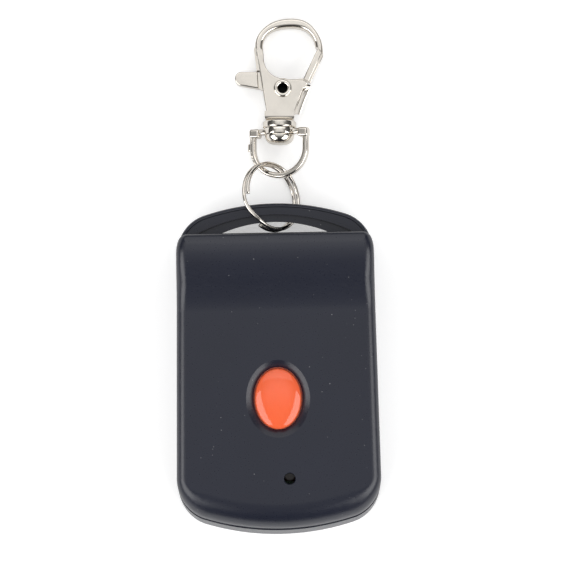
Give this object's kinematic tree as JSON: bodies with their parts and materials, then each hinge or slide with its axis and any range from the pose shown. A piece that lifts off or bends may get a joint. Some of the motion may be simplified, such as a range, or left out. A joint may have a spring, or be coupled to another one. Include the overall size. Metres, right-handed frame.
{
  "type": "garage door remote",
  "caption": "Key-ring garage door remote: dark shell with one oval orange button, lamp hole, raised battery end, split ring and swivel clasp.",
  "frame": {"origin": "on the flat back face, under the middle of the case", "axes": "+X to the right seen from the front, +Y along the case towards the key loop, +Z out of the button face"},
  "size_m": [0.0418, 0.1069, 0.0152],
  "materials": {
    "case_plastic": "fine moulded texture, dark blue-grey",
    "button_plastic": "polished orange",
    "black_moulding": "moulded",
    "code_switch_plastic": "moulded blue",
    "slider_plastic": "moulded white",
    "board_laminate": "green solder mask",
    "lamp_body": "clear red lens",
    "capacitor_ceramic": "fired ceramic",
    "copper_trace": "tinned copper",
    "tinned_steel": "tinned",
    "steel_screw": "zinc plated",
    "battery_steel": "nickel plated",
    "battery_film": "shrink film, bare",
    "contact_nickel": "nickel plated",
    "ring_nickel": "bright nickel plate",
    "clasp_nickel": "bright nickel plate over a casting"
  },
  "bodies": {
    "case": {"battery_can": "battery_steel", "battery_sleeve": "battery_film", "battery_spring": "contact_nickel", "case_screws": "steel_screw", "chip_capacitors": "capacitor_ceramic", "chip_resistors": "black_moulding", "circuit_board": "board_laminate", "code_switch_housing": "code_switch_plastic", "code_switch_legs": "tinned_steel", "encoder_chip": "black_moulding", "encoder_chip_legs": "tinned_steel", "front_shell": "case_plastic", "indicator_led": "lamp_body", "loop_antenna": "copper_trace", "negative_plate": "contact_nickel", "positive_plate": "contact_nickel", "radio_transistor": "black_moulding", "rear_shell": "case_plastic", "resonator_can": "tinned_steel", "tact_switch_base": "black_moulding", "tact_switch_cover": "tinned_steel", "tact_switch_dome": "tinned_steel", "tact_switch_legs": "tinned_steel"},
    "button": {"button_cap": "button_plastic"},
    "plunger": {"tact_switch_plunger": "black_moulding"},
    "ring": {"split_ring": "ring_nickel"},
    "bail": {"swivel_bail": "clasp_nickel"},
    "hook": {"hook_body": "clasp_nickel", "swivel_rivet": "clasp_nickel", "pivot_rivet": "clasp_nickel", "trigger_spring": "contact_nickel"},
    "trigger": {"trigger_lever": "clasp_nickel"},
    "slider_01": {"code_slider_01": "slider_plastic"},
    "slider_02": {"code_slider_02": "slider_plastic"},
    "slider_03": {"code_slider_03": "slider_plastic"},
    "slider_04": {"code_slider_04": "slider_plastic"},
    "slider_05": {"code_slider_05": "slider_plastic"},
    "slider_06": {"code_slider_06": "slider_plastic"},
    "slider_07": {"code_slider_07": "slider_plastic"},
    "slider_08": {"code_slider_08": "slider_plastic"},
    "slider_09": {"code_slider_09": "slider_plastic"},
    "slider_10": {"code_slider_10": "slider_plastic"}
  },
  "joints": [
    {"name": "button_press", "type": "slide", "parent": "case", "child": "button", "axis": [0, 0, -1], "range_m": [0, 0.0004], "stiffness_N_per_m": 600, "springref_m": -0.0005},
    {"name": "plunger_press", "type": "slide", "parent": "case", "child": "plunger", "axis": [0, 0, -1], "range_m": [0, 0.0004], "deforming": ["tact_switch_dome"]},
    {"name": "slider_01_slide", "type": "slide", "parent": "case", "child": "slider_01", "axis": [0, 1, 0], "range_m": [0, 0.002]},
    {"name": "slider_02_slide", "type": "slide", "parent": "case", "child": "slider_02", "axis": [0, 1, 0], "range_m": [-0.002, 0]},
    {"name": "slider_03_slide", "type": "slide", "parent": "case", "child": "slider_03", "axis": [0, 1, 0], "range_m": [-0.002, 0]},
    {"name": "slider_04_slide", "type": "slide", "parent": "case", "child": "slider_04", "axis": [0, 1, 0], "range_m": [0, 0.002]},
    {"name": "slider_05_slide", "type": "slide", "parent": "case", "child": "slider_05", "axis": [0, 1, 0], "range_m": [-0.002, 0]},
    {"name": "slider_06_slide", "type": "slide", "parent": "case", "child": "slider_06", "axis": [0, 1, 0], "range_m": [0, 0.002]},
    {"name": "slider_07_slide", "type": "slide", "parent": "case", "child": "slider_07", "axis": [0, 1, 0], "range_m": [0, 0.002]},
    {"name": "slider_08_slide", "type": "slide", "parent": "case", "child": "slider_08", "axis": [0, 1, 0], "range_m": [-0.002, 0]},
    {"name": "slider_09_slide", "type": "slide", "parent": "case", "child": "slider_09", "axis": [0, 1, 0], "range_m": [-0.002, 0]},
    {"name": "slider_10_slide", "type": "slide", "parent": "case", "child": "slider_10", "axis": [0, 1, 0], "range_m": [0, 0.002]},
    {"name": "ring_swing", "type": "hinge", "parent": "case", "child": "ring", "pos_m": [-0.0006, 0.0365, 0.0063], "axis": [1, 0, 0], "range_deg": [-4, 60]},
    {"name": "bail_swing", "type": "hinge", "parent": "ring", "child": "bail", "pos_m": [0.00116, 0.04272, 0.00453], "axis": [1, 0, 0], "range_deg": [-45, 5]},
    {"name": "hook_swivel", "type": "hinge", "parent": "bail", "child": "hook", "pos_m": [0.00132, 0.05168, 0.00375], "axis": [0.0174, 0.996, -0.0872], "continuous": true},
    {"name": "trigger_pull", "type": "hinge", "parent": "hook", "child": "trigger", "pos_m": [0.00214, 0.06057, 0.00297], "axis": [0.0015, 0.0871, 0.9962], "range_deg": [0, 28], "stiffness_Nm_per_rad": 0.01, "springref_deg": -17.19}
  ],
  "couplings": [
    {"joint": "plunger_press", "follows": "button_press", "ratio": 1}
  ]
}
